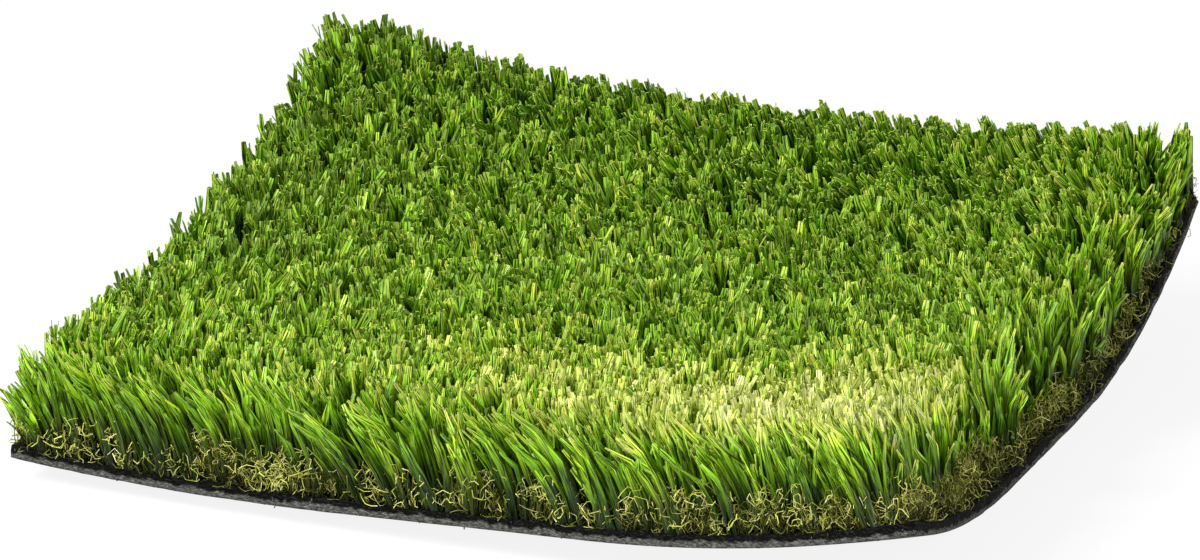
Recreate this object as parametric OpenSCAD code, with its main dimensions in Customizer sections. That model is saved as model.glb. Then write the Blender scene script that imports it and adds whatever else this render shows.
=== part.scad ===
// A cut piece of artificial turf that lies on a flat patch and curls up along all four edges.
// X runs along the front edge, Y to the back and Z up. The origin is the centre of the flat patch.

/* [Sheet] */
// Width of the sheet along its front edge, measured along the curl
sheet_w = 300; // [200:5:450]
// Depth of the sheet from front to back, measured along the curl
sheet_d = 260; // [180:5:400]

/* [Layers] */
// Thickness of the coated backing
backing_t = 4; // [2:0.5:8]
// Height of the curled yarn above the backing, between the blades
thatch_h = 12; // [6:1:20]
// Height of the curled yarn above the backing, at its outer rim
thatch_rim_h = 8; // [2:0.5:12]
// Height above the curled yarn at which the tips of the blades close up
blade_h = 21; // [16:1:40]
// Bare backing left around the yarn
bare_edge = 4; // [2:0.5:8]

/* [Fall of the blades at the edges] */
// How far the tips fall off along the front edge
front_drop = 5; // [0:0.5:9]
// How far the tips fall off along the back edge
back_drop = 1; // [0:0.5:9]
// How far the tips fall off along the left edge
left_drop = 6; // [0:0.5:9]
// How far the tips fall off along the right edge
right_drop = 6; // [0:0.5:9]
// Width of the strip along the edges where the tips fall off
edge_strip = 20; // [10:1:40]

/* [Flat patch] */
// Width of the patch that lies on the floor, as a share of the sheet's width
patch_w_share = 0.28; // [0.15:0.01:0.4]
// Depth of the patch that lies on the floor, as a share of the sheet's depth
patch_d_share = 0.24; // [0.15:0.01:0.4]
// Middle of the patch across the sheet, as a share of its width
patch_u_share = 0.5; // [0.4:0.01:0.6]
// Middle of the patch from front to back, as a share of the sheet's depth
patch_v_share = 0.44; // [0.4:0.01:0.6]

/* [Curl radii] */
// Front edge, radius at its left end
front_left_r = 3000; // [150:5:4000]
// Front edge, radius at its right end
front_right_r = 205; // [150:5:4000]
// Back edge, radius at its left end
back_left_r = 335; // [150:5:4000]
// Back edge, radius at its right end
back_right_r = 185; // [150:5:4000]
// Left edge, radius at its front end
left_front_r = 870; // [200:5:4000]
// Left edge, radius at its back end
left_back_r = 605; // [200:5:4000]
// Right edge, radius at its front end
right_front_r = 430; // [200:5:4000]
// Right edge, radius at its back end
right_back_r = 590; // [200:5:4000]

/* [Hidden] */
// Steps that each curled side is drawn with
curl_steps = 10;
// Steps that the flat patch is drawn with
patch_steps = 3;
// Half of the step that a surface normal is measured over
normal_step = 0.01;
patch_w = sheet_w * patch_w_share;
patch_d = sheet_d * patch_d_share;
patch_u = sheet_w * patch_u_share;
patch_v = sheet_d * patch_v_share;
patch_left = patch_u - patch_w / 2;
patch_right = patch_u + patch_w / 2;
patch_front = patch_v - patch_d / 2;
patch_back = patch_v + patch_d / 2;
// Grid lines across and along the sheet, without the two that bound its bare edge
inner_u = concat(
    steps(bare_edge, patch_left, curl_steps),
    steps(patch_left, patch_right, patch_steps),
    steps(patch_right, sheet_w - bare_edge, curl_steps),
    [sheet_w - bare_edge]
);
inner_v = concat(
    steps(bare_edge, patch_front, curl_steps),
    steps(patch_front, patch_back, patch_steps),
    steps(patch_back, sheet_d - bare_edge, curl_steps),
    [sheet_d - bare_edge]
);
all_u = concat([0], inner_u, [sheet_w]);
all_v = concat([0], inner_v, [sheet_d]);

// Evenly spaced lines from a up to, but without, b
function steps(a, b, count) = [for (i = [0 : count - 1]) mix(a, b, i / count)];
function mix(a, b, share) = a + (b - a) * share;
function unit(v) = v / norm(v);

// How far a strip of the given length reaches and rises when it bends to the given curvature
function turn(curve, len) = curve * len * 180 / PI;
function reach(curve, len) = sin(turn(curve, len)) / curve;
function rise(curve, len) = (1 - cos(turn(curve, len))) / curve;

// Length of the sheet past each border of the flat patch
function past_left(u) = max(patch_left - u, 0);
function past_right(u) = max(u - patch_right, 0);
function past_front(v) = max(patch_front - v, 0);
function past_back(v) = max(v - patch_back, 0);

// Curvature of each edge, changing evenly from one end of the edge to the other
function left_curve(v) = mix(1 / left_front_r, 1 / left_back_r, v / sheet_d);
function right_curve(v) = mix(1 / right_front_r, 1 / right_back_r, v / sheet_d);
function front_curve(u) = mix(1 / front_left_r, 1 / front_right_r, u / sheet_w);
function back_curve(u) = mix(1 / back_left_r, 1 / back_right_r, u / sheet_w);

// A point of the sheet's underside, from its place on the sheet as it would lie flat
function skin(u, v) = [
    min(max(u, patch_left), patch_right) - patch_u
        + reach(right_curve(v), past_right(u)) - reach(left_curve(v), past_left(u)),
    min(max(v, patch_front), patch_back) - patch_v
        + reach(back_curve(u), past_back(v)) - reach(front_curve(u), past_front(v)),
    rise(right_curve(v), past_right(u)) + rise(left_curve(v), past_left(u))
        + rise(back_curve(u), past_back(v)) + rise(front_curve(u), past_front(v))
];
function skin_normal(u, v) = unit(cross(
    skin(u + normal_step, v) - skin(u - normal_step, v),
    skin(u, v + normal_step) - skin(u, v - normal_step)
));
function above_skin(u, v, height) = skin(u, v) + height * skin_normal(u, v);

// Height of the curled yarn over the underside, lower on its outer rim
function on_rim(u, v) = u <= inner_u[0] || u >= inner_u[len(inner_u) - 1]
    || v <= inner_v[0] || v >= inner_v[len(inner_v) - 1];
function thatch_top(u, v) = backing_t + (on_rim(u, v) ? thatch_rim_h : thatch_h);

// Height of the tips over the underside, which fall off by each edge's own amount
function fall(drop, edge_distance) = drop * pow(max(1 - (edge_distance - bare_edge) / edge_strip, 0), 2);
function tip_loss(u, v) = max(
    fall(left_drop, u), fall(right_drop, sheet_w - u),
    fall(front_drop, v), fall(back_drop, sheet_d - v)
);
function pile_top(u, v) = backing_t + thatch_h + blade_h - tip_loss(u, v);

// A layer from two grids of points, lower and upper, with a wall around them
module layer(lower, upper, nu, nv) {
    count = nu * nv;
    under = [for (j = [0 : nv - 2], i = [0 : nu - 2], k = [0, 1])
        let (a = j * nu + i, b = a + nu)
        k == 0 ? [a, a + 1, b + 1] : [a, b + 1, b]];
    over = [for (f = under) [f[2] + count, f[1] + count, f[0] + count]];
    rim = concat(
        [for (i = [0 : nu - 2]) i],
        [for (j = [0 : nv - 2]) j * nu + nu - 1],
        [for (i = [nu - 1 : -1 : 1]) (nv - 1) * nu + i],
        [for (j = [nv - 1 : -1 : 1]) j * nu]
    );
    wall = [for (i = [0 : len(rim) - 1], k = [0, 1])
        let (a = rim[i], b = rim[(i + 1) % len(rim)])
        k == 0 ? [b, a, a + count] : [b, a + count, b + count]];
    polyhedron(points = concat(lower, upper), faces = concat(under, over, wall));
}

// The cut sheet of coated cloth
module backing() {
    color([0.05, 0.05, 0.05])
        layer(
            [for (v = all_v, u = all_u) above_skin(u, v, 0)],
            [for (v = all_v, u = all_u) above_skin(u, v, backing_t)],
            len(all_u), len(all_v)
        );
}

// The curled yarn at the foot of the blades, as one layer with a low rim
module thatch() {
    color([0.47, 0.45, 0.22])
        layer(
            [for (v = inner_v, u = inner_u) above_skin(u, v, backing_t)],
            [for (v = inner_v, u = inner_u) above_skin(u, v, thatch_top(u, v))],
            len(inner_u), len(inner_v)
        );
}

// The upright blades, as one layer up to the level of their tips
module pile() {
    color([0.3, 0.5, 0.12])
        layer(
            [for (v = inner_v, u = inner_u) above_skin(u, v, thatch_top(u, v))],
            [for (v = inner_v, u = inner_u) above_skin(u, v, pile_top(u, v))],
            len(inner_u), len(inner_v)
        );
}

backing();
thatch();
pile();
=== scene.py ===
import math

import bpy
import numpy as np
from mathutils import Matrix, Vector, noise


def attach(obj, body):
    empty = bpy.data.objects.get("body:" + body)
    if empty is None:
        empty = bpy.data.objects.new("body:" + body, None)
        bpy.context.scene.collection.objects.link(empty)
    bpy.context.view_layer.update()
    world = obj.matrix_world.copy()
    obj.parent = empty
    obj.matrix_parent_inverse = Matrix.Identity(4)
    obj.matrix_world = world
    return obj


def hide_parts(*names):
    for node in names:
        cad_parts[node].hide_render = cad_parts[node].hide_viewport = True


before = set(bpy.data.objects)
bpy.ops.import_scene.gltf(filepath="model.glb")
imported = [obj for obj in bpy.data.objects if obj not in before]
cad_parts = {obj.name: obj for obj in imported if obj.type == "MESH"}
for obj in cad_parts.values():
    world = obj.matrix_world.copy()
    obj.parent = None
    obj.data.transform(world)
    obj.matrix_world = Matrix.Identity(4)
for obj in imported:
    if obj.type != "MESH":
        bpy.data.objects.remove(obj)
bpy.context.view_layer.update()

# Backing sheet
# Black woven cloth that the yarn is stitched through, with a coat of latex under it that locks the
# stitches. A knife cut the piece out of a longer length, so its edge shows the cloth over the coat.
sheet_w = 0.300
sheet_d = 0.260
backing_t = 0.004
patch_u = (0.36 * sheet_w, 0.64 * sheet_w)
patch_v = (0.32 * sheet_d, 0.56 * sheet_d)
curl_radius = {
    "front": (3.0, 0.205),
    "back": (0.335, 0.185),
    "left": (0.870, 0.605),
    "right": (0.430, 0.590),
}
row_gap = 0.0063
cloth_cell = 0.0035
wall_rows = 5
knife_wander = 0.0010
knife_waves = ((30, 0.5), (260, 7.5))
side_step = 9.1
fray_depth = 0.0004
fray_steps = (0.9, 3.3, 2.0)
grit_scale = 1300.0
grit_stretch = (0.6, 0.6, 1.8)
grit_range = (0.3, 0.7)
cloth_roughness = (1.0, 0.8)
clump_scale = 260.0
coat_share = 0.5
coat_share_right = 0.35
coat_fade = (0.09, 0.135)
coat_wander = 0.9
coat_blur = 0.12
coat_colours = [(0.34, (0.015, 0.015, 0.013)), (0.52, (0.11, 0.11, 0.10)), (0.70, (0.30, 0.30, 0.27))]
cloth_colours = [(0.46, (0.001, 0.001, 0.001)), (0.56, (0.006, 0.006, 0.005)), (0.72, (0.045, 0.045, 0.04))]
cloth_sheen = 0.1
cloth_relief = 0.0008
stitch_relief = 0.5


def bend(curve, length):
    """How far a strip of cloth reaches and rises when it bends to the given curvature."""
    return np.sin(curve * length) / curve, (1 - np.cos(curve * length)) / curve


def edge_curve(edge, share):
    """Curvature of one edge, changing evenly from its first end to its second."""
    first, second = curl_radius[edge]
    return (1 - share) / first + share / second


def underside(u, v):
    """Place of a point of the underside, from its place on the sheet as it would lie flat."""
    left, left_rise = bend(edge_curve("left", v / sheet_d), np.maximum(patch_u[0] - u, 0))
    right, right_rise = bend(edge_curve("right", v / sheet_d), np.maximum(u - patch_u[1], 0))
    front, front_rise = bend(edge_curve("front", u / sheet_w), np.maximum(patch_v[0] - v, 0))
    back, back_rise = bend(edge_curve("back", u / sheet_w), np.maximum(v - patch_v[1], 0))
    x = np.clip(u, *patch_u) - sum(patch_u) / 2 + right - left
    y = np.clip(v, *patch_v) - sum(patch_v) / 2 + back - front
    return np.stack((x, y, left_rise + right_rise + front_rise + back_rise), axis=-1)


def upwards(u, v, step=1e-5):
    """Unit normal of the curled sheet."""
    across = underside(u + step, v) - underside(u - step, v)
    along = underside(u, v + step) - underside(u, v - step)
    normal = np.cross(across, along)
    return normal / np.linalg.norm(normal, axis=-1, keepdims=True)


def on_sheet(u, v, height):
    """Place of a point at a height above the underside."""
    return underside(u, v) + height * upwards(u, v)


def knife_line(place, side):
    """How far the knife strayed into the sheet at a place along one side."""
    waves = [noise.noise(Vector((place * scale, side * side_step, layer))) for scale, layer in knife_waves]
    return knife_wander * abs(sum(waves) / len(waves))


def add_node(tree, kind, sockets=(), **settings):
    """A node with its settings, and a value or a link on each named input."""
    node = tree.nodes.new(kind)
    for name, value in settings.items():
        setattr(node, name, value)
    for name, value in dict(sockets).items():
        socket = node.inputs[name] if isinstance(name, int) else None
        socket = socket or next(s for s in node.inputs if s.enabled and s.name == name)
        if isinstance(value, bpy.types.NodeSocket):
            tree.links.new(value, socket)
        else:
            socket.default_value = value
    return node


def result(node, name=None):
    """The node's output of that name, or its first one."""
    return next(s for s in node.outputs if s.enabled and name in (None, s.name))


def maths(tree, operation, *values):
    """A number worked out from other numbers."""
    return result(add_node(tree, "ShaderNodeMath", dict(enumerate(values)), operation=operation))


def eased(tree, value, first, last, low=0.0, high=1.0):
    """A number that goes smoothly from low to high as the value goes from first to last."""
    sockets = {"Value": value, "From Min": first, "From Max": last, "To Min": low, "To Max": high}
    return result(add_node(tree, "ShaderNodeMapRange", sockets, interpolation_type="SMOOTHSTEP"))


def colour_steps(tree, value, steps):
    """A colour that changes with the value, from (place, colour) steps."""
    node = add_node(tree, "ShaderNodeValToRGB", {"Fac": value})
    ramp = node.color_ramp
    while len(ramp.elements) < len(steps):
        ramp.elements.new(1.0)
    for element, (place, colour) in zip(ramp.elements, steps):
        element.position = place
        element.color = (*colour, 1.0)
    return result(node, "Color")


def blended(tree, share, first, second, blend_type="MIX"):
    """A colour between two others, no brighter than white."""
    sockets = {"Factor": share, "A": first, "B": second}
    settings = {"data_type": "RGBA", "blend_type": blend_type, "clamp_result": True}
    return result(add_node(tree, "ShaderNodeMix", sockets, **settings))


def new_material(name):
    """A new material, its node tree and its shader."""
    material = bpy.data.materials.new(name)
    material.use_nodes = True
    tree = material.node_tree
    return material, tree, tree.nodes["Principled BSDF"]


def grain(tree, vector, scale, detail=2.0, roughness=0.5, distortion=0.0):
    """A fine random pattern from 0 to 1."""
    sockets = {"Vector": vector, "Scale": scale, "Detail": detail, "Roughness": roughness,
               "Distortion": distortion}
    return result(add_node(tree, "ShaderNodeTexNoise", sockets), "Fac")


def raise_grain(tree, shader, height, strength, distance):
    """Gives the shader a fine relief."""
    bump = add_node(tree, "ShaderNodeBump", {"Strength": strength, "Distance": distance, "Height": height})
    tree.links.new(result(bump), shader.inputs["Normal"])


def coated_cloth():
    """Black cloth over a speckled grey coat, which thins out towards the right."""
    material, tree, shader = new_material("coated_cloth")
    place = result(add_node(tree, "ShaderNodeTexCoord"), "Object")
    across = result(add_node(tree, "ShaderNodeSeparateXYZ", {"Vector": place}), "X")
    layer = result(add_node(tree, "ShaderNodeAttribute", attribute_name="layer"), "Fac")
    flattened = add_node(tree, "ShaderNodeVectorMath", {0: place, 1: grit_stretch}, operation="MULTIPLY")
    grit = grain(tree, result(flattened), grit_scale, detail=3.0, roughness=0.7)
    clumps = grain(tree, place, clump_scale, roughness=0.6)
    border = maths(tree, "MULTIPLY_ADD", maths(tree, "SUBTRACT", clumps, 0.5), coat_wander, layer)
    coat_top = eased(tree, across, *coat_fade, coat_share, coat_share_right)
    above_coat = eased(tree, maths(tree, "SUBTRACT", border, coat_top), -coat_blur, coat_blur)
    coat = colour_steps(tree, grit, coat_colours)
    cloth = colour_steps(tree, grit, cloth_colours)
    tree.links.new(blended(tree, above_coat, coat, cloth), shader.inputs["Base Color"])
    tree.links.new(eased(tree, grit, *grit_range, *cloth_roughness), shader.inputs["Roughness"])
    shader.inputs["Specular IOR Level"].default_value = cloth_sheen
    stitch_wave = maths(tree, "SINE", maths(tree, "MULTIPLY", across, 2 * math.pi / row_gap))
    under = eased(tree, layer, 0.0, 0.05, stitch_relief, 0.0)
    relief = maths(tree, "MULTIPLY_ADD", stitch_wave, under, grit)
    raise_grain(tree, shader, relief, strength=0.8, distance=cloth_relief)
    return material


def new_piece(name, mesh):
    """A piece in the scene, with its place in its mesh."""
    piece = bpy.data.objects.new(name, mesh)
    bpy.context.scene.collection.objects.link(piece)
    return piece


def grid_cells(index):
    """The four corners of each cell of a grid of points."""
    corners = (index[:-1, :-1], index[:-1, 1:], index[1:, 1:], index[1:, :-1])
    return np.stack(corners, axis=-1).reshape(-1, 4)


def grid_rim(index):
    """The points around a grid, in the order of its cells' corners."""
    return np.concatenate((index[0, :-1], index[:-1, -1], index[-1, :0:-1], index[:0:-1, 0]))


def wall_between(low, high):
    """Cells between two rings of points."""
    return np.stack((low, np.roll(low, -1), np.roll(high, -1), high), axis=1)


def backing_mesh():
    """A closed sheet: two skins and a cut wall between them."""
    us = np.linspace(0, sheet_w, round(sheet_w / cloth_cell) + 1)
    vs = np.linspace(0, sheet_d, round(sheet_d / cloth_cell) + 1)
    u, v = np.meshgrid(us, vs)
    u[:, 0] = [knife_line(place, 0) for place in vs]
    u[:, -1] = [sheet_w - knife_line(place, 1) for place in vs]
    v[0, :] = [knife_line(place, 2) for place in us]
    v[-1, :] = [sheet_d - knife_line(place, 3) for place in us]
    index = np.arange(u.size).reshape(u.shape)
    rim = grid_rim(index)
    rim_u, rim_v = u.flat[rim], v.flat[rim]
    points = [on_sheet(u, v, 0.0).reshape(-1, 3), on_sheet(u, v, backing_t).reshape(-1, 3)]
    layer = [np.zeros(u.size), np.ones(u.size)]
    rings = [rim]
    step, row_step, fray_layer = fray_steps
    for row in range(wall_rows - 1):
        level = (row + 1) / wall_rows
        fray = [noise.noise(Vector((i * step, row * row_step, fray_layer))) for i in range(len(rim))]
        fray = fray_depth * np.array(fray)
        ring_u = rim_u + fray * np.sign(rim_u - sheet_w / 2)
        ring_v = rim_v + fray * np.sign(rim_v - sheet_d / 2)
        points.append(on_sheet(ring_u, ring_v, level * backing_t))
        layer.append(np.full(len(rim), level))
        rings.append(2 * u.size + row * len(rim) + np.arange(len(rim)))
    rings.append(rim + u.size)
    walls = [wall_between(low, high) for low, high in zip(rings, rings[1:])]
    faces = np.concatenate((grid_cells(index)[:, ::-1], grid_cells(index) + u.size, *walls))
    mesh = bpy.data.meshes.new("backing_sheet")
    mesh.from_pydata(np.concatenate(points).tolist(), [], faces.tolist())
    mesh.attributes.new("layer", "FLOAT", "POINT").data.foreach_set("value", np.concatenate(layer))
    mesh.shade_smooth()
    return mesh


backing_sheet = new_piece("backing_sheet", backing_mesh())
backing_sheet.data.materials.append(coated_cloth())
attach(backing_sheet, "root")
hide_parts("backing")

# Matted yarn
# Between the stitches the curled yarn lies pressed into a mat, which thins out just inside the cut edge.
# Strands and blades hide most of it, so it is one low, uneven layer, with its fibres in the material.
mat_margin = 0.006
mat_height = 0.012
mat_sink = 0.0005
mat_cell = 0.004
mat_slope = 0.010
mat_shade = 0.020
mat_lumps = 170
mat_layer = 4.0
mat_level = 0.75
mat_swell = 0.45
fibre_scale = 420.0
fibre_width = 0.10
fibre_roughness = (1.0, 0.75)
patch_scale = 150.0
patch_range = (0.4, 0.6)
mat_olive = [(0.0, (0.05, 0.10, 0.008)), (0.5, (0.17, 0.32, 0.022)), (1.0, (0.40, 0.62, 0.05))]
mat_straw = [(0.0, (0.06, 0.09, 0.010)), (0.5, (0.28, 0.36, 0.035)), (1.0, (0.62, 0.72, 0.10))]
# Painted shade: the mat darkens towards its border, down to 0.35 of its colour.
mat_edge_shade = (0.3, 1.0, 0.35, 1.0)
mat_sheen = 0.2
fibre_relief = 0.002


def grey(tree, level):
    """A grey of the given level."""
    return result(add_node(tree, "ShaderNodeCombineXYZ", {"X": level, "Y": level, "Z": level}))


def matted_yarn():
    """Tangled olive and straw fibres with dark gaps, darker at the border of the mat as painted shade."""
    material, tree, shader = new_material("matted_yarn")
    place = result(add_node(tree, "ShaderNodeTexCoord"), "Object")
    tangle = grain(tree, place, fibre_scale, detail=3.0, roughness=0.6, distortion=2.5)
    off_fibre = maths(tree, "ABSOLUTE", maths(tree, "SUBTRACT", tangle, 0.5))
    fibre = eased(tree, off_fibre, 0.0, fibre_width, 1.0, 0.0)
    patches = eased(tree, grain(tree, place, patch_scale), *patch_range)
    olive = colour_steps(tree, fibre, mat_olive)
    straw = colour_steps(tree, fibre, mat_straw)
    inside = result(add_node(tree, "ShaderNodeAttribute", attribute_name="inside"), "Fac")
    # Painted shade, darker near the border of the mat
    dark = grey(tree, eased(tree, inside, *mat_edge_shade))
    colour = blended(tree, 1.0, blended(tree, patches, olive, straw), dark, "MULTIPLY")
    tree.links.new(colour, shader.inputs["Base Color"])
    tree.links.new(eased(tree, fibre, 0.0, 1.0, *fibre_roughness), shader.inputs["Roughness"])
    shader.inputs["Specular IOR Level"].default_value = mat_sheen
    raise_grain(tree, shader, fibre, strength=0.9, distance=fibre_relief)
    return material


def mat_mesh():
    """A closed, uneven layer that thins out at its border."""
    ends = [(mat_margin, size - mat_margin, size - 2 * mat_margin) for size in (sheet_w, sheet_d)]
    us, vs = (np.linspace(first, last, round(length / mat_cell) + 1) for first, last, length in ends)
    u, v = np.meshgrid(us, vs)
    index = np.arange(u.size).reshape(u.shape)
    border = np.minimum(np.minimum(u - us[0], us[-1] - u), np.minimum(v - vs[0], vs[-1] - v))
    lumps = [noise.noise(Vector((a * mat_lumps, b * mat_lumps, mat_layer))) for a, b in zip(u.flat, v.flat)]
    swell = mat_level + mat_swell * np.reshape(lumps, u.shape)
    tall = mat_height * np.clip(border / mat_slope, 0, 1) * swell
    lower = on_sheet(u, v, backing_t - mat_sink)
    upper = on_sheet(u, v, (backing_t + mat_sink + tall)[..., None])
    points = np.concatenate((lower, upper)).reshape(-1, 3)
    rim = grid_rim(index)
    faces = (grid_cells(index)[:, ::-1], grid_cells(index) + u.size, wall_between(rim, rim + u.size))
    mesh = bpy.data.meshes.new("matted_yarn")
    mesh.from_pydata(points.tolist(), [], np.concatenate(faces).tolist())
    inside = np.tile(np.clip(border / mat_shade, 0, 1).ravel(), 2)
    mesh.attributes.new("inside", "FLOAT", "POINT").data.foreach_set("value", inside)
    mesh.shade_smooth()
    return mesh


yarn_mat = new_piece("matted_yarn", mat_mesh())
yarn_mat.data.materials.append(matted_yarn())
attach(yarn_mat, "root")
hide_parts("thatch")

# Cut threads
# Ends of the woven cloth that the knife left loose. They lie on the bare margin and hang a little over
# the cut edge. Like all the yarn they are made on the cloth as it is curled.
stitch_gap = 0.0056
between_scatter = 0.6 * stitch_gap
rim_share = 0.004
surface_points = (101, 88)
chart = "OFBake"
chart_columns = 24
chart_inset = 0.1
chart_end = 0.02
chart_span = chart_columns - 0.01
side_radius = 0.577
round_section = 0.6
full_turn = 2 * math.pi
all_round = ((-1.0, -1.0, 0.0), (1.0, 1.0, 0.0))
stitch_draw = 300
spread_draw = 1
between_draw = 13
drift_gain = 3.0


def stitched_surface():
    """The top of the cloth as a mesh that carries its flat places and its normals."""
    us, vs = (np.linspace(0, size, count) for size, count in zip((sheet_w, sheet_d), surface_points))
    u, v = np.meshgrid(us, vs)
    faces = grid_cells(np.arange(u.size).reshape(u.shape))
    mesh = bpy.data.meshes.new("stitched_surface")
    mesh.from_pydata(on_sheet(u, v, backing_t).reshape(-1, 3).tolist(), [], faces.tolist())
    normals = mesh.attributes.new("upwards", "FLOAT_VECTOR", "POINT")
    normals.data.foreach_set("vector", upwards(u, v).ravel())
    flat = np.stack((u / sheet_w, v / sheet_d), axis=-1).reshape(-1, 2)
    mesh.uv_layers.new(name="flat").data.foreach_set("uv", flat[faces.ravel()].ravel())
    return mesh


class YarnTree:
    """A node tree that stitches yarn into the cloth. Its inputs are named sizes.

    Each draw is a random value: its number, the least and the most. Each change has the places where it
    starts and ends, and often its values there."""

    def __init__(self, name, draws, changes=()):
        self.tree = bpy.data.node_groups.new(name, "GeometryNodeTree")
        for way in ("INPUT", "OUTPUT"):
            self.tree.interface.new_socket("Geometry", in_out=way, socket_type="NodeSocketGeometry")
        self.start = self.tree.nodes.new("NodeGroupInput")
        self.end = self.tree.nodes.new("NodeGroupOutput")
        self.cloth = self.start.outputs["Geometry"]
        self.draws = draws
        self.changes = dict(changes)
        self.seed = self.size("Seed", "Int")

    def size(self, name, kind="Float"):
        """A named input, made when it is first asked for."""
        if name not in self.start.outputs:
            self.tree.interface.new_socket(name, in_out="INPUT", socket_type="NodeSocket" + kind)
        return self.start.outputs[name]

    def node(self, kind, sockets=(), **settings):
        return add_node(self.tree, kind, sockets, **settings)

    def number(self, operation, *values):
        return maths(self.tree, operation, *values)

    def chained(self, operation, values):
        """One operation on some numbers, one after the other."""
        total = values[0]
        for value in values[1:]:
            total = self.number(operation, total, value)
        return total

    def times(self, *values):
        return self.chained("MULTIPLY", values)

    def plus(self, *values):
        return self.chained("ADD", values)

    def largest(self, *values):
        return self.chained("MAXIMUM", values)

    def minus(self, first, second):
        return self.number("SUBTRACT", first, second)

    def times_plus(self, first, second, added):
        return self.number("MULTIPLY_ADD", first, second, added)

    def altered(self, share, amount):
        """1 where the share is 0, and that plus the named amount where it is 1."""
        return self.times_plus(share, self.size(amount), 1.0)

    def change(self, value, name, *ends):
        """A number that goes smoothly from one value to another with the given value."""
        return eased(self.tree, value, *self.changes[name], *ends)

    def vector(self, operation, *values):
        return result(self.node("ShaderNodeVectorMath", dict(enumerate(values)), operation=operation))

    def scaled(self, vector, by):
        return result(self.node("ShaderNodeVectorMath", {"Vector": vector, "Scale": by}, operation="SCALE"))

    def join(self, x, y, z=0.0):
        return result(self.node("ShaderNodeCombineXYZ", {"X": x, "Y": y, "Z": z}))

    def parts(self, vector):
        node = self.node("ShaderNodeSeparateXYZ", {"Vector": vector})
        return result(node, "X"), result(node, "Y"), result(node, "Z")

    def chance(self, low, high, seed, by):
        """A random number or vector for each whole number in by."""
        kind = "FLOAT_VECTOR" if isinstance(low, tuple) else "FLOAT"
        sockets = {"Min": low, "Max": high, "ID": by, "Seed": seed}
        return result(self.node("FunctionNodeRandomValue", sockets, data_type=kind))

    def luck(self, name):
        """A random value for each strand."""
        number, low, high = self.draws[name]
        return self.chance(low, high, self.plus(self.seed, number), self.kept("strand", "INT"))

    def drift(self, vector, scale):
        """A smooth random vector, each part from about -1 to 1."""
        sockets = {"Vector": vector, "Scale": scale, "Detail": 1.0}
        colour = result(self.node("ShaderNodeTexNoise", sockets), "Color")
        return self.scaled(self.vector("SUBTRACT", colour, (0.5, 0.5, 0.5)), drift_gain)

    def keep(self, geometry, name, value, kind="FLOAT", domain="POINT"):
        """The geometry with a value stored on it."""
        sockets = {"Geometry": geometry, "Name": name, "Value": value}
        return result(self.node("GeometryNodeStoreNamedAttribute", sockets, data_type=kind, domain=domain))

    def kept(self, name, kind="FLOAT"):
        return result(self.node("GeometryNodeInputNamedAttribute", {"Name": name}, data_type=kind))

    def kept_vector(self, name):
        return self.kept(name, "FLOAT_VECTOR")

    def from_cloth(self, value, place):
        """A vector of the cloth's surface at a place on the flat sheet."""
        flat = self.kept_vector("flat")
        sockets = {"Mesh": self.cloth, "Value": value, "UV Map": flat, "Sample UV": place}
        return result(self.node("GeometryNodeSampleUVSurface", sockets, data_type="FLOAT_VECTOR"))

    def stitch_rows(self, per_stitch, between=0.0):
        """Points at the foot of each strand, in rows from the front of the cloth to its back.

        A share of the strands, given by between, stands between the stitches."""
        left, front = self.size("Left margin"), self.size("Front margin")
        size_u = self.minus(sheet_w, self.plus(left, self.size("Right margin")))
        size_v = self.minus(sheet_d, self.plus(front, self.size("Back margin")))
        rows = self.number("ROUND", self.number("DIVIDE", size_u, self.size("Row gap")))
        stitches = self.number("ROUND", self.number("DIVIDE", size_v, self.size("Stitch gap")))
        grid = {"Size X": size_u, "Size Y": size_v, "Vertices X": rows, "Vertices Y": stitches}
        grid = result(self.node("GeometryNodeMeshGrid", grid))
        points = result(self.node("GeometryNodeMeshToPoints", {"Mesh": grid}))
        number = result(self.node("GeometryNodeInputIndex"))
        points = self.keep(points, "stitch", number, "INT")
        copies = {"Geometry": points, "Amount": per_stitch}
        points = result(self.node("GeometryNodeDuplicateElements", copies, domain="POINT"))
        points = self.keep(points, "strand", number, "INT")
        place = result(self.node("GeometryNodeInputPosition"))
        place = self.vector("ADD", place, self.scaled(self.join(size_u, size_v), 0.5))
        place = self.vector("ADD", place, self.join(left, front))
        pull = self.chance(*all_round, stitch_draw, self.kept("stitch", "INT"))
        place = self.vector("ADD", place, self.scaled(pull, self.size("Stitch scatter")))
        spread = self.chance(*all_round, self.plus(self.seed, spread_draw), number)
        aside = self.chance(0.0, 1.0, self.plus(self.seed, between_draw), number)
        points = self.keep(points, "between", self.number("LESS_THAN", aside, between))
        scatter = self.times_plus(self.kept("between"), between_scatter, self.size("Strand scatter"))
        place = self.vector("ADD", place, self.scaled(spread, scatter))
        place = self.vector("DIVIDE", place, (sheet_w, sheet_d, 1.0))
        place = self.vector("MAXIMUM", place, (rim_share, rim_share, 0.0))
        place = self.vector("MINIMUM", place, (1.0 - rim_share, 1.0 - rim_share, 0.0))
        points = self.keep(points, "place", place, "FLOAT_VECTOR")
        place = self.kept_vector("place")
        up = self.from_cloth(self.kept_vector("upwards"), place)
        points = self.keep(points, "up", up, "FLOAT_VECTOR")
        root = self.from_cloth(result(self.node("GeometryNodeInputPosition")), place)
        return self.keep(points, "root", root, "FLOAT_VECTOR")

    def find_edges(self):
        """Finds how near a strand is to each edge, from 0 inside to 1 at the edge."""
        self.u, self.v, _ = self.parts(self.kept_vector("place"))
        reach_u = self.number("DIVIDE", self.size("Edge strip"), sheet_w)
        reach_v = self.number("DIVIDE", self.size("Edge strip"), sheet_d)
        self.left, self.right = self.both_edges(self.u, reach_u)
        self.front, self.back = self.both_edges(self.v, reach_v)

    def both_edges(self, place, reach):
        """How near a strand is to the first and the last edge."""
        distances = (place, self.minus(1.0, place))
        return [eased(self.tree, distance, 0.0, reach, 1.0, 0.0) for distance in distances]

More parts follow.
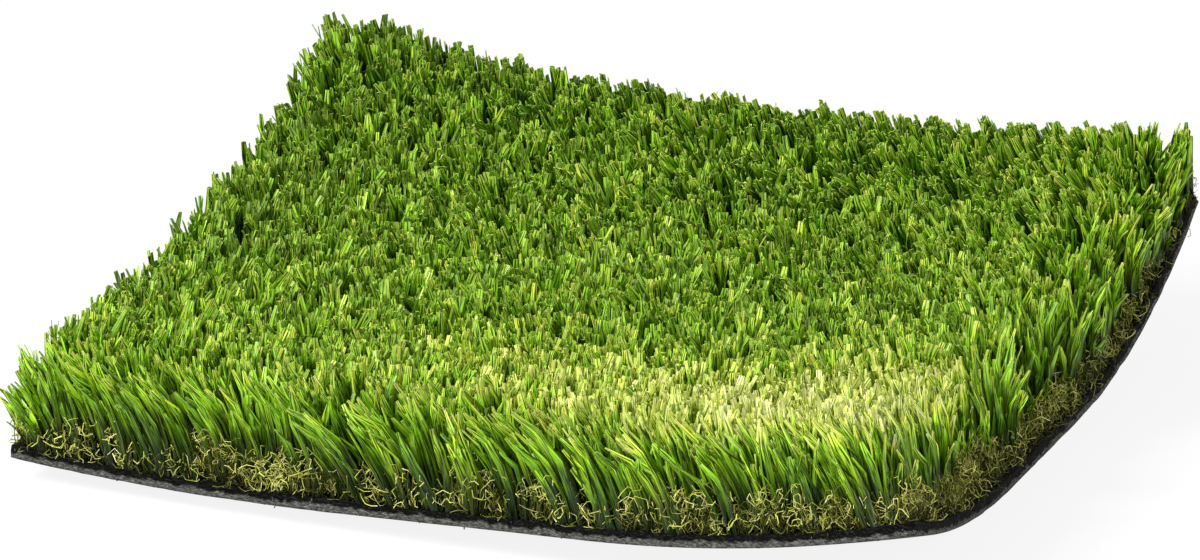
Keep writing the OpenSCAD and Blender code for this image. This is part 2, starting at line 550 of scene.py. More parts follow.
    def outwards(self):
        """To the right and to the back, over the edges that are near."""
        return self.join(self.minus(self.right, self.left), self.minus(self.back, self.front))

    def without(self, points, selection):
        """The points that are left when the selected ones are taken out."""
        sockets = {"Geometry": points, "Selection": selection}
        return result(self.node("GeometryNodeDeleteGeometry", sockets, domain="POINT"))

    def strands(self, points, count, bunch=1.0):
        """A line of points on each foot, with what is kept there. A low bunch sets them near the tip."""
        line = self.node("GeometryNodeCurvePrimitiveLine", {"End": (0.0, 0.0, 0.001)})
        lines = self.node("GeometryNodeInstanceOnPoints", {"Points": points, "Instance": result(line)})
        lines = self.node("GeometryNodeRealizeInstances", {"Geometry": result(lines)})
        lines = self.node("GeometryNodeResampleCurve", {"Curve": result(lines), "Count": count})
        along = result(self.node("GeometryNodeSplineParameter"), "Factor")
        return self.keep(result(lines), "along", self.number("POWER", along, bunch))

    def sides(self):
        """The cloth's own directions at a foot: to the right, to the back and up."""
        up = self.kept_vector("up")
        right = self.vector("NORMALIZE", self.vector("CROSS_PRODUCT", (0.0, 1.0, 0.0), up))
        return right, self.vector("CROSS_PRODUCT", up, right), up

    def from_foot(self, rise, move_u, move_v):
        """The place above a foot, and to its right and its back along the cloth."""
        to_right, to_back, up = self.sides()
        place = self.vector("ADD", self.kept_vector("root"), self.scaled(up, rise))
        place = self.vector("ADD", place, self.scaled(to_right, move_u))
        return self.vector("ADD", place, self.scaled(to_back, move_v))

    def spin(self, lines, place, radius, tilt, flatness, shade):
        """Closed three-sided yarn around each line, with its place on the colour chart."""
        lines = result(self.node("GeometryNodeSetPosition", {"Geometry": lines, "Position": place}))
        lines = self.keep(lines, "shade", shade)
        lines = result(self.node("GeometryNodeSetCurveTilt", {"Curve": lines, "Tilt": tilt}))
        section = result(self.node("GeometryNodeCurvePrimitiveCircle", {"Resolution": 3, "Radius": 1.0}))
        flattened = {"Geometry": section, "Scale": (flatness, 1.0, 1.0)}
        section = result(self.node("GeometryNodeTransform", flattened))
        across = result(self.node("GeometryNodeSplineParameter"), "Factor")
        section = self.keep(section, "across", across)
        yarn = {"Curve": lines, "Profile Curve": section, "Scale": radius, "Fill Caps": True}
        yarn = result(self.node("GeometryNodeCurveToMesh", yarn))
        column = self.number("FLOOR", self.times(self.kept("shade"), chart_span))
        inside = self.times_plus(self.kept("across"), 1.0 - 2 * chart_inset, chart_inset)
        chart_u = self.number("DIVIDE", self.plus(column, inside), float(chart_columns))
        chart_v = self.times_plus(self.kept("along"), 1.0 - 2 * chart_end, chart_end)
        return self.keep(yarn, chart, self.join(chart_u, chart_v), "FLOAT2", "CORNER")

    def finish(self, yarn):
        """The last two nodes, which every tree ends in."""
        yarn = self.node("GeometryNodeRealizeInstances", {"Geometry": yarn})
        material = self.size("Material", "Material")
        yarn = self.node("GeometryNodeSetMaterial", {"Geometry": result(yarn), "Material": material})
        self.tree.links.new(result(yarn), self.end.inputs["Geometry"])
        return self.tree


thread_gap = 0.003
thread_strip = 0.02
thread_points = 4
cut_strip = 0.9
thread_draws = {
    "outwards": (2, -0.4, 0.5), "aside": (3, *all_round), "lift": (4, 0.3, 1.0),
    "turn": (5, 0.0, full_turn), "shade": (6, 0.0, 1.0), "depth": (7, 0.0, 1.0),
}


def thread_tree():
    """Short loose threads around the edge of the cloth."""
    yarn = YarnTree("cut_threads", thread_draws)
    points = yarn.stitch_rows(yarn.size("Threads", "Int"))
    yarn.find_edges()
    near = yarn.largest(yarn.left, yarn.right, yarn.front, yarn.back)
    points = yarn.without(points, yarn.number("LESS_THAN", near, thread_strip))
    lines = yarn.strands(points, thread_points)
    along = yarn.kept("along")
    outwards = yarn.scaled(yarn.vector("NORMALIZE", yarn.outwards()), yarn.luck("outwards"))
    reach = yarn.scaled(yarn.vector("ADD", outwards, yarn.luck("aside")), yarn.size("Reach"))
    move_u, move_v, _ = yarn.parts(yarn.scaled(reach, along))
    lift = yarn.times(yarn.size("Lift"), yarn.luck("lift"))
    fallen = yarn.times(along, along, yarn.size("Fall"))
    sunk = yarn.times(yarn.number("GREATER_THAN", near, cut_strip), backing_t, yarn.luck("depth"))
    rise = yarn.minus(yarn.minus(yarn.times(along, lift), fallen), sunk)
    place = yarn.from_foot(rise, move_u, move_v)
    radius = yarn.times(yarn.size("Thickness"), side_radius)
    yarn_mesh = yarn.spin(lines, place, radius, yarn.luck("turn"), round_section, yarn.luck("shade"))
    return yarn.finish(yarn_mesh)


tip_range = (0.7, 1.0)
# Pale colour of the painted highlight on the lightest tips
highlighted = (0.76, 0.96, 0.21, 1.0)
highlight_from = 0.3 * chart_columns
fibre_runs = 3.0
streak_range = (0.42, 0.58)
# Part of each strand's sides near an edge that gets a painted highlight
edge_highlight_range = (0.0, 0.6)
shine_range = (0.3, 0.7)
shine_spread = 0.1


def yarn_colour(name, steps, variety, roughness, sheen=0.15, evenness=0.1, edge_highlight=0.0, highlight=0.0,
                fibres=5.0, depth=(0.75, 1.2)):
    """Fibrous yarn whose colour runs along each strand, lighter on some strands than on others.

    Variety is how far the strands differ at their tips, and evenness the share of it at their feet. The
    lightest tips are mixed towards a pale colour and the edges are lightened, both painted highlights."""
    material, tree, shader = new_material(name)
    place = result(add_node(tree, "ShaderNodeUVMap", uv_map=chart))
    parts = add_node(tree, "ShaderNodeSeparateXYZ", {"Vector": place})
    along = result(parts, "Y")
    columns = maths(tree, "MULTIPLY", result(parts, "X"), float(chart_columns))
    column = maths(tree, "FLOOR", columns)
    stretch = (chart_columns * fibres, fibre_runs, 0.0)
    stretched = add_node(tree, "ShaderNodeVectorMath", {0: place, 1: stretch}, operation="MULTIPLY")
    streak = grain(tree, result(stretched), 1.0, roughness=0.6)
    # Painted highlight: tips of the lightest columns are mixed towards a pale colour.
    highlight_share = eased(tree, column, highlight_from, float(chart_columns), 0.0, highlight)
    pale = maths(tree, "MULTIPLY", eased(tree, along, *tip_range), highlight_share)
    colour = blended(tree, pale, colour_steps(tree, along, steps), highlighted)
    around = maths(tree, "SUBTRACT", maths(tree, "FRACT", columns), chart_inset)
    around = maths(tree, "MULTIPLY", around, 3 * math.pi / (1.0 - 2 * chart_inset))
    off_edge = maths(tree, "ABSOLUTE", maths(tree, "SINE", around))
    # How light a strand is by its column: a random tone, with the painted light and shade of the blades.
    level = maths(tree, "MULTIPLY_ADD", column, variety / chart_columns, -variety / 2)
    level = maths(tree, "MULTIPLY_ADD", level, eased(tree, along, *tip_range, evenness, 1.0), 1.0)
    level = maths(tree, "MULTIPLY", level, eased(tree, streak, *streak_range, *depth))
    # Painted highlight along the strand's edges
    level = maths(tree, "MULTIPLY", level, eased(tree, off_edge, *edge_highlight_range, 1.0 + edge_highlight, 1.0))
    colour = blended(tree, 1.0, colour, grey(tree, level), "MULTIPLY")
    tree.links.new(colour, shader.inputs["Base Color"])
    shine = eased(tree, streak, *shine_range, roughness + shine_spread, roughness - shine_spread)
    tree.links.new(shine, shader.inputs["Roughness"])
    shader.inputs["Specular IOR Level"].default_value = sheen
    return material


def stitched(name, tree, sizes):
    """The yarn that a tree makes on the cloth, as a plain mesh."""
    cloth = new_piece(name + "_cloth", stitched_surface())
    modifier = cloth.modifiers.new("stitching", "NODES")
    modifier.node_group = tree
    for item in tree.interface.items_tree:
        if item.in_out == "INPUT" and item.name in sizes:
            modifier[item.identifier] = sizes[item.name]
    graph = bpy.context.evaluated_depsgraph_get()
    yarn = cloth.evaluated_get(graph)
    mesh = bpy.data.meshes.new_from_object(yarn, preserve_all_data_layers=True, depsgraph=graph)
    cloth.modifiers.remove(modifier)
    bpy.data.objects.remove(cloth)
    for spare in ("stitch", "strand", "between", "place", "up", "root", "along", "shade", "across"):
        if spare in mesh.attributes:
            mesh.attributes.remove(mesh.attributes[spare])
    mesh.name = name
    return new_piece(name, mesh)


thread_sizes = {
    "Seed": 5, "Threads": 2, "Row gap": thread_gap, "Stitch gap": thread_gap,
    "Left margin": 0.001, "Right margin": 0.001, "Front margin": 0.001, "Back margin": 0.001,
    "Stitch scatter": 0.0008, "Strand scatter": 0.0012, "Edge strip": 0.0075,
    "Reach": 0.0012, "Lift": 0.0026, "Fall": 0.0018, "Thickness": 0.0005,
}
thread_steps = [(0.0, (0.004, 0.004, 0.004)), (0.5, (0.02, 0.02, 0.018)), (1.0, (0.13, 0.13, 0.12))]
thread_sizes["Material"] = yarn_colour("cut_threads", thread_steps, variety=1.6, roughness=0.8)
cut_threads = stitched("cut_threads", thread_tree(), thread_sizes)
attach(cut_threads, "root")
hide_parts("backing")

# Curled thatch yarn
# Fine olive and straw yarn that is crimped in the mill, so that it springs into loops at the foot of
# the blades and holds them up. It is stitched through the cloth together with them, row by row.
thatch_h = 0.012
bare_edge = 0.004
thatch_points = 7
crimp_waves = 4.0
crimp_step = 7.77
least_rise = 0.4
thatch_draws = {
    "kept": (2, 0.0, 1.0), "reach": (3, *all_round), "rising": (4, 0.05, 1.0), "winding": (5, 4.0, 9.0),
    "first angle": (6, 0.0, full_turn), "loop": (7, 0.5, 1.3), "heading": (8, 0.0, full_turn),
    "shade": (9, 0.4, 1.0), "thickness": (10, 0.35, 0.95),
}
thatch_changes = {
    "shown": (0.0, 0.2), "filled": (-0.6, 0.1, 0.45, 1.0), "tall": (-0.5, 0.5, 0.55, 1.40),
    "rise": (0.0, 0.4), "painted shade on low strands": (0.05, 0.5, 0.5, 1.0), "knots": (-0.4, 0.0, 0.4, 1.0),
    "right edge": (0.85, 1.0, 1.0, 0.5),
}


def thatch_tree():
    """Crimped yarn that rises from the cloth in small loops, in clumps and only where it shows."""
    yarn = YarnTree("thatch_stitching", thatch_draws, thatch_changes)
    points = yarn.stitch_rows(yarn.size("Strands", "Int"))
    yarn.find_edges()
    flat_place = yarn.kept_vector("place")
    clumps, _, _ = yarn.parts(yarn.drift(flat_place, yarn.size("Clumps")))
    knots, _, _ = yarn.parts(yarn.drift(flat_place, yarn.size("Knots")))
    front = yarn.minus(yarn.front, yarn.size("Front hidden"))
    far = yarn.minus(yarn.largest(yarn.left, yarn.back), yarn.size("Far hidden"))
    shown = yarn.change(yarn.largest(yarn.right, front, far), "shown")
    filled = yarn.largest(yarn.change(clumps, "filled"), yarn.times(yarn.right, yarn.size("Right share")))
    share = yarn.times(shown, filled)
    points = yarn.without(points, yarn.number("GREATER_THAN", yarn.luck("kept"), share))
    lines = yarn.strands(points, thatch_points)
    along = yarn.kept("along")
    outwards = yarn.scaled(yarn.outwards(), yarn.size("Bulge"))
    held_u = yarn.altered(yarn.largest(yarn.left, yarn.right), "Edge hold")
    held_v = yarn.altered(yarn.largest(yarn.front, yarn.back), "Edge hold")
    reach = yarn.scaled(yarn.luck("reach"), yarn.size("Reach"))
    reach = yarn.vector("MULTIPLY", reach, yarn.join(held_u, held_v))
    reach_u, reach_v, _ = yarn.parts(yarn.scaled(yarn.vector("ADD", reach, outwards), along))
    rising = yarn.luck("rising")
    tall = yarn.times(yarn.size("Height"), rising, yarn.change(clumps, "tall"))
    first_angle = yarn.luck("first angle")
    angle = yarn.times_plus(along, yarn.luck("winding"), first_angle)
    loop = yarn.times(yarn.size("Loop"), yarn.luck("loop"))
    sideways = yarn.minus(yarn.number("SINE", angle), yarn.number("SINE", first_angle))
    lifted = yarn.minus(yarn.number("COSINE", angle), yarn.number("COSINE", first_angle))
    sideways = yarn.times(sideways, loop)
    lifted = yarn.times(lifted, loop)
    own_row = yarn.times(yarn.kept("strand", "INT"), crimp_step)
    own_place = yarn.join(yarn.times(along, crimp_waves), own_row)
    crimp = yarn.scaled(yarn.drift(own_place, 1.0), yarn.size("Crimp"))
    crimp_u, crimp_v, crimp_up = yarn.parts(crimp)
    heading = yarn.luck("heading")
    move_u = yarn.plus(reach_u, yarn.times_plus(sideways, yarn.number("COSINE", heading), crimp_u))
    move_v = yarn.plus(reach_v, yarn.times_plus(sideways, yarn.number("SINE", heading), crimp_v))
    rise = yarn.plus(yarn.times_plus(yarn.change(along, "rise"), tall, lifted), crimp_up)
    rise = yarn.largest(rise, yarn.times(yarn.size("Thickness"), least_rise))
    place = yarn.from_foot(rise, move_u, move_v)
    radius = yarn.times(yarn.size("Thickness"), yarn.luck("thickness"))
    # Painted shade: strands that rise less from the cloth are darker.
    shade = yarn.times(yarn.luck("shade"), yarn.change(rising, "painted shade on low strands"), yarn.change(knots, "knots"),
                       yarn.change(yarn.right, "right edge"))
    return yarn.finish(yarn.spin(lines, place, radius, first_angle, round_section, shade))


thatch_sizes = {
    "Row gap": row_gap, "Stitch gap": stitch_gap, "Strands": 20,
    "Left margin": 0.005, "Right margin": 0.003, "Front margin": 0.003, "Back margin": bare_edge,
    "Stitch scatter": 0.0010, "Strand scatter": 0.0030, "Edge strip": 0.017, "Clumps": 16.0, "Knots": 60.0,
    "Front hidden": 0.25, "Far hidden": 0.5, "Right share": 0.55,
    "Height": thatch_h, "Bulge": 0.001, "Reach": 0.0070, "Edge hold": -0.6,
    "Loop": 0.0016, "Crimp": 0.0012, "Thickness": 0.00022,
}
thatch_finish = {"variety": 2.4, "roughness": 0.7, "evenness": 0.85}
# Each colour runs from near black at the foot, painted shade, to light tops, partly a painted highlight.
thatch_colours = {
    "thatch_olive": [(0.0, (0.004, 0.005, 0.001)), (0.3, (0.08, 0.095, 0.012)), (0.6, (0.60, 0.67, 0.095)),
                     (1.0, (0.93, 0.98, 0.19))],
    "thatch_straw": [(0.0, (0.006, 0.006, 0.001)), (0.3, (0.14, 0.145, 0.022)), (0.6, (0.92, 0.92, 0.20)),
                     (1.0, (1.0, 0.99, 0.34))],
}
thatch_seed = 11
seed_step = 40
thatch_stitching = thatch_tree()
for number, (name, steps) in enumerate(thatch_colours.items()):
    finish = yarn_colour(name, steps, **thatch_finish)
    sizes = dict(thatch_sizes, Seed=thatch_seed + seed_step * number, Material=finish)
    thatch = stitched(name, thatch_stitching, sizes)
    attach(thatch, "root")
    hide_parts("thatch")

# Blades
# Flat green yarn, cut to one length after it is stitched, so that each stitch stands up as a tuft of blades
# with blunt tips. Their colour darkens towards the foot as painted shade and pales at the tips, partly as
# a painted highlight. Three greens are spun together, and the tufts lean as they were rolled.
blade_length = 0.038
inner_points = 3.0
added_points = 2.0
loose_from = 0.05
late_bend = 0.6
tip_spread = (0.5, 1.0, 0.0)
flat_section = 0.25
blade_draws = {
    "lean": (3, *all_round), "length": (4, 0.92, 1.04), "twist": (5, -1.2, 1.2),
    "turn": (6, 0.0, full_turn), "shade": (7, 0.0, 0.22), "stray": (8, 0.0, 1.0), "wear": (9, 0.0, 0.22),
    "width": (10, 0.65, 1.3), "kept": (12, 0.0, 1.0), "shortness": (14, 0.08, 0.30),
    "bow": (15, *all_round), "tip": (16, *all_round),
    "right clearing": (17, 0.6, 1.2), "front clearing": (18, 0.6, 1.3),
}
tuft_draws = {
    "lean": (301, *all_round), "tip": (302, *all_round), "length": (305, 0.95, 1.03),
    "shade": (306, 0.0, 1.0), "front clearing": (310, -0.35, 1.25), "right clearing": (311, 0.15, 1.25),
}
blade_changes = {
    "right clearing": (0.5, 1.0), "left clearing": (0.02, 0.12), "far left clearing": (0.3, 0.5, 1.0, 0.5),
    "front clearing": (0.0, 0.15), "thinning": (0.0, 0.1), "bunch": (0.0, 0.1, 0.32, 0.8),
    "front hold": (0.002, 0.009, 0.5, 1.0), "tip": (0.75, 1.0),
    "left end of front nap": (0.0, 0.12, 0.7, 1.0), "right end of front nap": (0.6, 1.0, 1.0, 0.3),
    "right nap": (0.0, 1.0), "far left nap": (0.4, 0.65), "near left nap": (0.0, 0.15, 1.6, 0.0),
    "overhang": (0.0, 0.4, 1.9, 0.8),
    "left end of back loss": (0.1, 0.4), "right end of back loss": (0.55, 0.8, 1.0, 0.0),
    "foot taper": (0.0, 0.7, 0.7, 1.0), "tip taper": (0.0, 0.1, 0.62, 0.42),
    "front painted light": (0.0, 0.4, 1.0, 0.0), "painted light to the right": (0.3, 0.85, 0.25, 1.0),
    "painted light off the edge": (0.0, 0.08, 0.55, 1.0),
    "right painted light": (0.7, 1.0), "far right painted light": (0.4, 0.8, 0.0, 0.3),
    "left painted shade": (0.0, 0.4, 0.3, 0.0), "far painted shade": (0.3, 0.5, 0.7, 1.0),
}


class BladeTree(YarnTree):
    """Tufts of flat blades that lean together and spread at the edges."""

    def tuft_luck(self, name):
        """A random value for each tuft, the same for blades of every colour."""
        number, low, high = tuft_draws[name]
        return self.chance(low, high, number, self.kept("stitch", "INT"))

    def feet(self):
        """The feet of the blades, thinned out inside the sheet and cleared away unevenly at its edges."""
        points = self.stitch_rows(self.size("Blades", "Int"), self.size("Between share"))
        self.find_edges()
        self.between = self.kept("between")
        self.from_front = self.times(self.v, sheet_d)
        self.far_corner = self.times(self.right, self.back)
        left = self.times(self.left, self.size("Left looseness"))
        self.loose = self.largest(left, self.right, self.front)
        right_ends = self.size("Right clearing"), self.size("Far right clearing")
        right = self.change(self.v, "right clearing", *right_ends)
        right = self.times(right, self.tuft_luck("right clearing"), self.luck("right clearing"))
        left_ends = self.size("Near left clearing"), self.size("Left clearing")
        left = self.change(self.v, "left clearing", *left_ends)
        left = self.times(left, self.change(self.v, "far left clearing"))
        front_ends = self.size("Left front clearing"), self.size("Front clearing")
        front = self.change(self.u, "front clearing", *front_ends)
        front = self.times(front, self.tuft_luck("front clearing"), self.luck("front clearing"))
        from_right = self.times(self.minus(1.0, self.u), sheet_w)
        from_left = self.times(self.u, sheet_w)
        for distance, cleared in ((from_right, right), (from_left, left), (self.from_front, front)):
            points = self.without(points, self.number("LESS_THAN", distance, cleared))
        at_edge = self.largest(self.loose, self.back)
        thinned = self.change(at_edge, "thinning", self.size("Inner share"), 1.0)
        return self.without(points, self.number("GREATER_THAN", self.luck("kept"), thinned))

    def lines(self):
        """A line on each foot, with more points where the blades are loose."""
        points = self.feet()
        loose = self.number("GREATER_THAN", self.loose, loose_from)
        count = self.minus(self.times_plus(loose, added_points, inner_points), self.between)
        return self.strands(points, count, self.change(self.loose, "bunch"))

    def random_lean(self):
        """How far tufts and single blades lean by chance, more where they are free."""
        tuft = self.scaled(self.tuft_luck("lean"), self.size("Tuft lean"))
        tuft = self.vector("MULTIPLY", tuft, self.join(self.altered(self.front, "Front parting"), 1.0))
        stray = self.number("LESS_THAN", self.luck("stray"), self.size("Stray share"))
        stray = self.times(stray, self.minus(self.front, self.largest(self.right, self.left)))
        stray = self.largest(stray, 0.0)
        own_lean = self.times_plus(stray, self.size("Stray lean"), self.size("Blade lean"))
        own_lean = self.times_plus(self.between, self.size("Between lean"), own_lean)
        own = self.scaled(self.luck("lean"), own_lean)
        freedom = self.times(self.altered(self.loose, "Edge looseness"),
                             self.change(self.from_front, "front hold"),
                             self.altered(self.back, "Back calm"),
                             self.altered(self.far_corner, "Corner calm"))
        return self.scaled(self.vector("ADD", tuft, own), freedom)

    def nap(self):
        """How far the blades lie over to the right, which differs from edge to edge."""
        front = self.times(self.change(self.u, "left end of front nap"), self.size("Front nap"),
                           self.change(self.u, "right end of front nap"))
        right = self.times(self.change(self.v, "right nap"), self.size("Right nap"))
        left = self.largest(self.change(self.v, "far left nap"), self.change(self.v, "near left nap"))
        left = self.times(left, self.size("Left nap"))
        nap = self.times_plus(self.front, front, self.size("Nap"))
        nap = self.times_plus(self.right, right, nap)
        return self.times_plus(self.left, left, nap)

    def lean(self):
        """How far the blades lean to the right and to the back."""
        sway = self.scaled(self.drift(self.kept_vector("place"), self.size("Sways")), self.size("Sway"))
        lean = self.vector("ADD", sway, self.random_lean())
        overhang = self.times(self.back, self.change(self.u, "overhang"))
        overhang = self.times(self.minus(overhang, self.front), self.size("Overhang"))
        lean_u, lean_v, _ = self.parts(self.vector("ADD", lean, self.join(self.nap(), overhang)))
        to_right, to_back, _ = self.sides()
        return self.vector("ADD", self.scaled(to_right, lean_u), self.scaled(to_back, lean_v))

    def length(self):
        """The length of each blade, less what is cut off or worn away."""
        length = self.times(self.size("Length"), self.luck("length"), self.tuft_luck("length"))
        loss = self.times(self.left, self.front, self.size("Corner loss"))
        loss = self.times_plus(self.left, self.size("Left loss"), loss)
        mid_back = self.times(self.change(self.u, "left end of back loss"),
                              self.change(self.u, "right end of back loss"),
                              self.back, self.size("Back loss"))
        loss = self.plus(loss, mid_back)
        loss = self.times_plus(self.far_corner, self.size("Far corner loss"), loss)
        short = self.times(self.luck("shortness"), self.minus(1.0, self.back))
        loss = self.times_plus(self.between, short, loss)
        worn = self.times_plus(self.right, self.size("Right wear"), self.loose)
        worn = self.times(worn, self.luck("wear"), self.altered(self.back, "Back wear"))
        return self.times(length, self.minus(1.0, self.plus(loss, worn)))

    def place(self, along):
        """The place of each point of a blade that bends over, bows and curls at its tip."""
        up = self.kept_vector("up")
        sideways = self.lean()
        bent = self.times(along, self.times_plus(along, late_bend, 1.0 - late_bend))
        path = self.vector("ADD", self.scaled(up, along), self.scaled(sideways, bent))
        bow = self.times(self.number("SINE", self.times(along, math.pi)), self.size("Bow"))
        path = self.vector("ADD", path, self.scaled(self.luck("bow"), bow))
        tip = self.vector("ADD", self.tuft_luck("tip"), self.luck("tip"))
        tip = self.vector("MULTIPLY", tip, tip_spread)
        curl = self.times(self.change(along, "tip"), self.size("Tip curl"),
                          self.altered(self.back, "Back curl"))
        path = self.vector("ADD", path, self.scaled(tip, curl))
        path = self.vector("SUBTRACT", path, self.scaled(up, self.times(curl, self.size("Tip droop"))))
        squared = self.node("ShaderNodeVectorMath", {0: sideways, 1: sideways}, operation="DOT_PRODUCT")
        stretch = self.number("SQRT", self.plus(result(squared, "Value"), 1.0))
        path = self.scaled(path, self.number("DIVIDE", self.length(), stretch))
        return self.vector("ADD", self.kept_vector("root"), path)

    def radius(self, along):
        """Half the width of a blade, narrower at its foot and at its tip."""
        blunt = self.change(self.largest(self.right, self.front), "tip taper")
        taper = self.times(self.change(along, "foot taper"), self.change(along, "tip", 1.0, blunt))
        width = self.times(self.altered(self.between, "Between width"), self.luck("width"),
                           self.size("Width"))
        return self.times(width, side_radius, taper)

    def shade(self):
        """How light each blade is, from 0 to 1: a random tone, with painted light at the front and the
        right, and painted shade on the left and on the blades between the tufts.
        """
        # Painted light: blades near the front, towards the right and at the back right are lighter.
        front = self.change(self.times_plus(self.u, self.size("Painted light slant"), self.v), "front painted light")
        front = self.times(front, self.change(self.u, "painted light to the right"),
                           self.change(self.v, "painted light off the edge"))
        right = self.times(self.change(self.u, "right painted light"), self.change(self.v, "far right painted light"))
        shade = self.times_plus(self.tuft_luck("shade"), self.size("Tuft shade"), self.luck("shade"))
        shade = self.times_plus(self.largest(front, right), self.size("Painted light share"), shade)
        # Painted shade: blades on the left and the blades between the tufts are darker.
        dull = self.times(self.change(self.u, "left painted shade"), self.change(self.v, "far painted shade"))
        return self.times(shade, self.altered(self.between, "Between shade"), self.minus(1.0, dull))

    def stitch(self):
        """The whole tree, from the feet of the blades to their finish."""
        lines = self.lines()
        along = self.kept("along")
        tilt = self.times_plus(along, self.luck("twist"), self.luck("turn"))
        blades = self.spin(lines, self.place(along), self.radius(along), tilt, flat_section, self.shade())
        return self.finish(blades)


blade_sizes = {
    "Row gap": row_gap, "Stitch gap": stitch_gap, "Blades": 7, "Inner share": 0.88, "Between share": 0.36,
    "Left margin": 0.002, "Right margin": 0.003, "Front margin": 0.002, "Back margin": 0.002,
    "Left clearing": 0.006, "Near left clearing": 0.002,
    "Right clearing": 0.014, "Far right clearing": 0.001,
    "Front clearing": 0.0085, "Left front clearing": 0.003,
    "Stitch scatter": 0.0012, "Strand scatter": 0.0011, "Edge strip": 0.024,
    "Length": blade_length, "Width": 0.0022, "Between width": 0.4,
    "Edge looseness": 0.9, "Left looseness": 0.4, "Back calm": -0.7, "Corner calm": -0.5,
    "Sway": 0.06, "Sways": 12.0, "Tuft lean": 0.08, "Front parting": 1.4, "Blade lean": 0.06,
    "Between lean": 0.08, "Stray share": 0.10, "Stray lean": 0.15,
    "Bow": 0.06, "Tip curl": 0.09, "Back curl": -0.6, "Tip droop": 0.35,
    "Nap": -0.03, "Front nap": -0.40, "Right nap": 0.39, "Left nap": -0.20, "Overhang": 0.08,
    "Left loss": 0.05, "Corner loss": 0.5, "Back loss": 0.08, "Far corner loss": 0.06,
    "Right wear": 0.8, "Back wear": -0.7,
    # Shares of the random tone, the painted light and the painted shade of the blades:
    "Tuft shade": 0.28, "Painted light share": 0.5, "Painted light slant": -0.2, "Between shade": -0.3,
}
# The blades get painted highlights on their edges and at their lightest tips.
blade_finish = {
    "variety": 1.6, "roughness": 0.45, "sheen": 0.25, "evenness": 0.4, "edge_highlight": 0.5, "highlight": 0.85,
    "fibres": 11.0, "depth": (0.15, 1.85),
}
# Each green runs from near black at the foot, painted shade, to a pale tip, partly a painted highlight.
blade_colours = {
    "blades_lime": [(0.0, (0.010, 0.018, 0.001)), (0.35, (0.049, 0.086, 0.0028)),
                    (0.65, (0.185, 0.315, 0.009)), (0.88, (0.48, 0.83, 0.031)), (1.0, (0.72, 0.98, 0.14))],
    "blades_green": [(0.0, (0.006, 0.015, 0.001)), (0.35, (0.033, 0.070, 0.0021)),
                     (0.65, (0.125, 0.25, 0.006)), (0.88, (0.37, 0.715, 0.023)), (1.0, (0.59, 0.92, 0.10))],
    "blades_deep": [(0.0, (0.004, 0.011, 0.001)), (0.35, (0.021, 0.050, 0.0014)),
                    (0.65, (0.08, 0.178, 0.0045)), (0.88, (0.25, 0.535, 0.017)), (1.0, (0.43, 0.78, 0.07))],
}
blade_seed = 100
blade_stitching = BladeTree("blade_stitching", blade_draws, blade_changes).stitch()
for number, (name, steps) in enumerate(blade_colours.items()):
    finish = yarn_colour(name, steps, **blade_finish)
    sizes = dict(blade_sizes, Seed=blade_seed + seed_step * number, Material=finish)
    blades = stitched(name, blade_stitching, sizes)
    blades.data.shade_flat()
    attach(blades, "root")
    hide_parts("pile")

# Floor and light
# A plain pale floor that shows white and keeps a soft shadow, under two soft lamps and an even sky.
floor_half = 3.0
floor_level = -0.0002
floor_shown = (0.15, 0.15, 0.15, 1.0)
floor_lighting = (0.8, 0.8, 0.8, 1.0)
floor_glow = 0.87
floor_roughness = 0.9
white = (1.0, 1.0, 1.0, 1.0)
sky_level = 0.24
lamp_distance = 2.2


def seen_rays(tree):
    """1 for rays that end in the picture, straight or by a mirror or glass, and else 0."""
    path = add_node(tree, "ShaderNodeLightPath")
    seen = maths(tree, "MAXIMUM", result(path, "Is Camera Ray"), result(path, "Is Glossy Ray"))
    return maths(tree, "MAXIMUM", seen, result(path, "Is Transmission Ray"))


def floor_paint():
    """Pale paint that glows a little where it is seen."""
    material, tree, shader = new_material("floor_paint")
    seen = seen_rays(tree)
    tree.links.new(blended(tree, seen, floor_lighting, floor_shown), shader.inputs["Base Color"])
    tree.links.new(maths(tree, "MULTIPLY", seen, floor_glow), shader.inputs["Emission Strength"])
    shader.inputs["Emission Color"].default_value = white
    shader.inputs["Roughness"].default_value = floor_roughness
    shader.inputs["Specular IOR Level"].default_value = 0.0
    return material


def aimed_from(azimuth, elevation):
    """Unit vector from the turf, turned to the right of its front and raised."""
    level = math.cos(elevation)
    return Vector((math.sin(azimuth) * level, -math.cos(azimuth) * level, math.sin(elevation)))


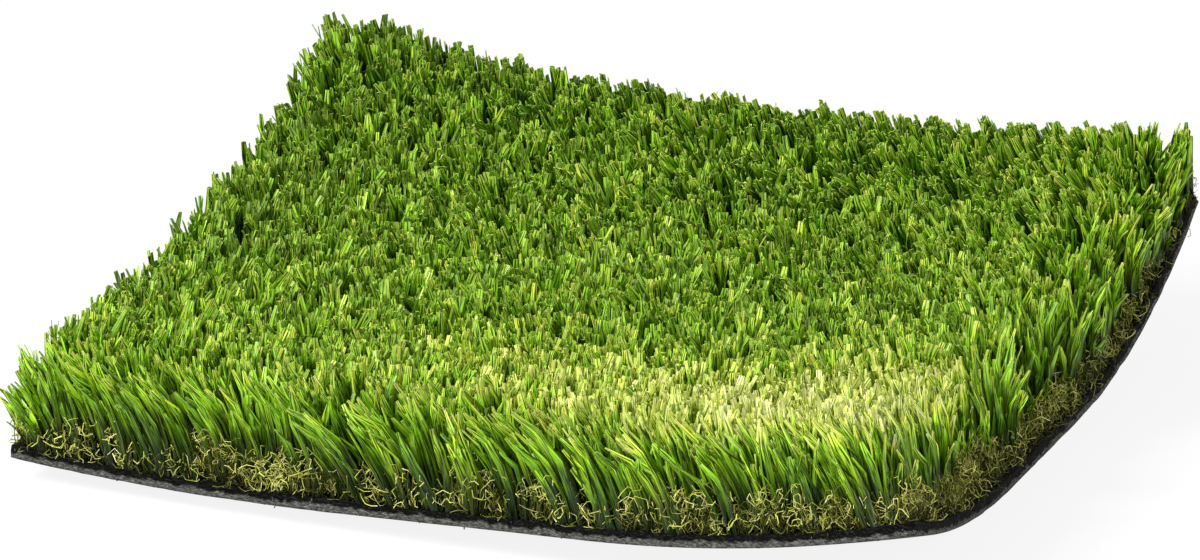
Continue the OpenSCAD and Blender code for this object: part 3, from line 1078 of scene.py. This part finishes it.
def soft_lamp(name, level, azimuth, elevation, size):
    """A round lamp turned to the turf, which lights level ground to the given level."""
    data = bpy.data.lights.new(name, "AREA")
    data.shape = "DISK"
    data.size = size
    data.energy = level * (math.pi * lamp_distance) ** 2 / math.sin(elevation)
    lamp = bpy.data.objects.new(name, data)
    bpy.context.scene.collection.objects.link(lamp)
    lamp.location = lamp_distance * aimed_from(azimuth, elevation)
    lamp.rotation_euler = (-lamp.location).to_track_quat("-Z", "Y").to_euler()


floor_mesh = bpy.data.meshes.new("floor")
floor_sides = [(-1, -1), (1, -1), (1, 1), (-1, 1)]
corners = [(x * floor_half, y * floor_half, floor_level) for x, y in floor_sides]
floor_mesh.from_pydata(corners, [], [(0, 1, 2, 3)])
floor = new_piece("floor", floor_mesh)
floor.data.materials.append(floor_paint())

world = bpy.data.worlds.new("even_sky")
bpy.context.scene.world = world
world.use_nodes = True
sky = world.node_tree.nodes["Background"]
sky.inputs["Color"].default_value = white
sky_seen = seen_rays(world.node_tree)
sky_strength = maths(world.node_tree, "MULTIPLY_ADD", sky_seen, 1.0 - sky_level, sky_level)
world.node_tree.links.new(sky_strength, sky.inputs["Strength"])
soft_lamp("key_lamp", level=0.72, azimuth=math.radians(-45), elevation=math.radians(42), size=0.9)
soft_lamp("fill_lamp", level=0.15, azimuth=math.radians(60), elevation=math.radians(30), size=1.4)

# Camera
# It stands to the right of the front and looks down at the turf from about four metres.
photo_width = 1200
camera_azimuth = math.radians(22.18)
camera_elevation = math.radians(22.54)
camera_distance = 4.0
pixels_per_metre = 3190.0
turf_middle = Vector((0.0, 0.0156, 0.020))
aim_right = -0.0052
aim_up = 0.0192
to_camera = aimed_from(camera_azimuth, camera_elevation)
picture_right = Vector((math.cos(camera_azimuth), math.sin(camera_azimuth), 0.0))
picture_up = to_camera.cross(picture_right)
aim = turf_middle + picture_right * aim_right + picture_up * aim_up
camera_data = bpy.data.cameras.new("camera")
camera_data.sensor_width = 36.0
camera_data.lens = camera_data.sensor_width * pixels_per_metre * camera_distance / photo_width
camera = bpy.data.objects.new("camera", camera_data)
bpy.context.scene.collection.objects.link(camera)
camera.location = aim + to_camera * camera_distance
camera.rotation_euler = (-to_camera).to_track_quat("-Z", "Y").to_euler()
bpy.context.scene.camera = camera
bpy.context.scene.view_settings.view_transform = "Standard"
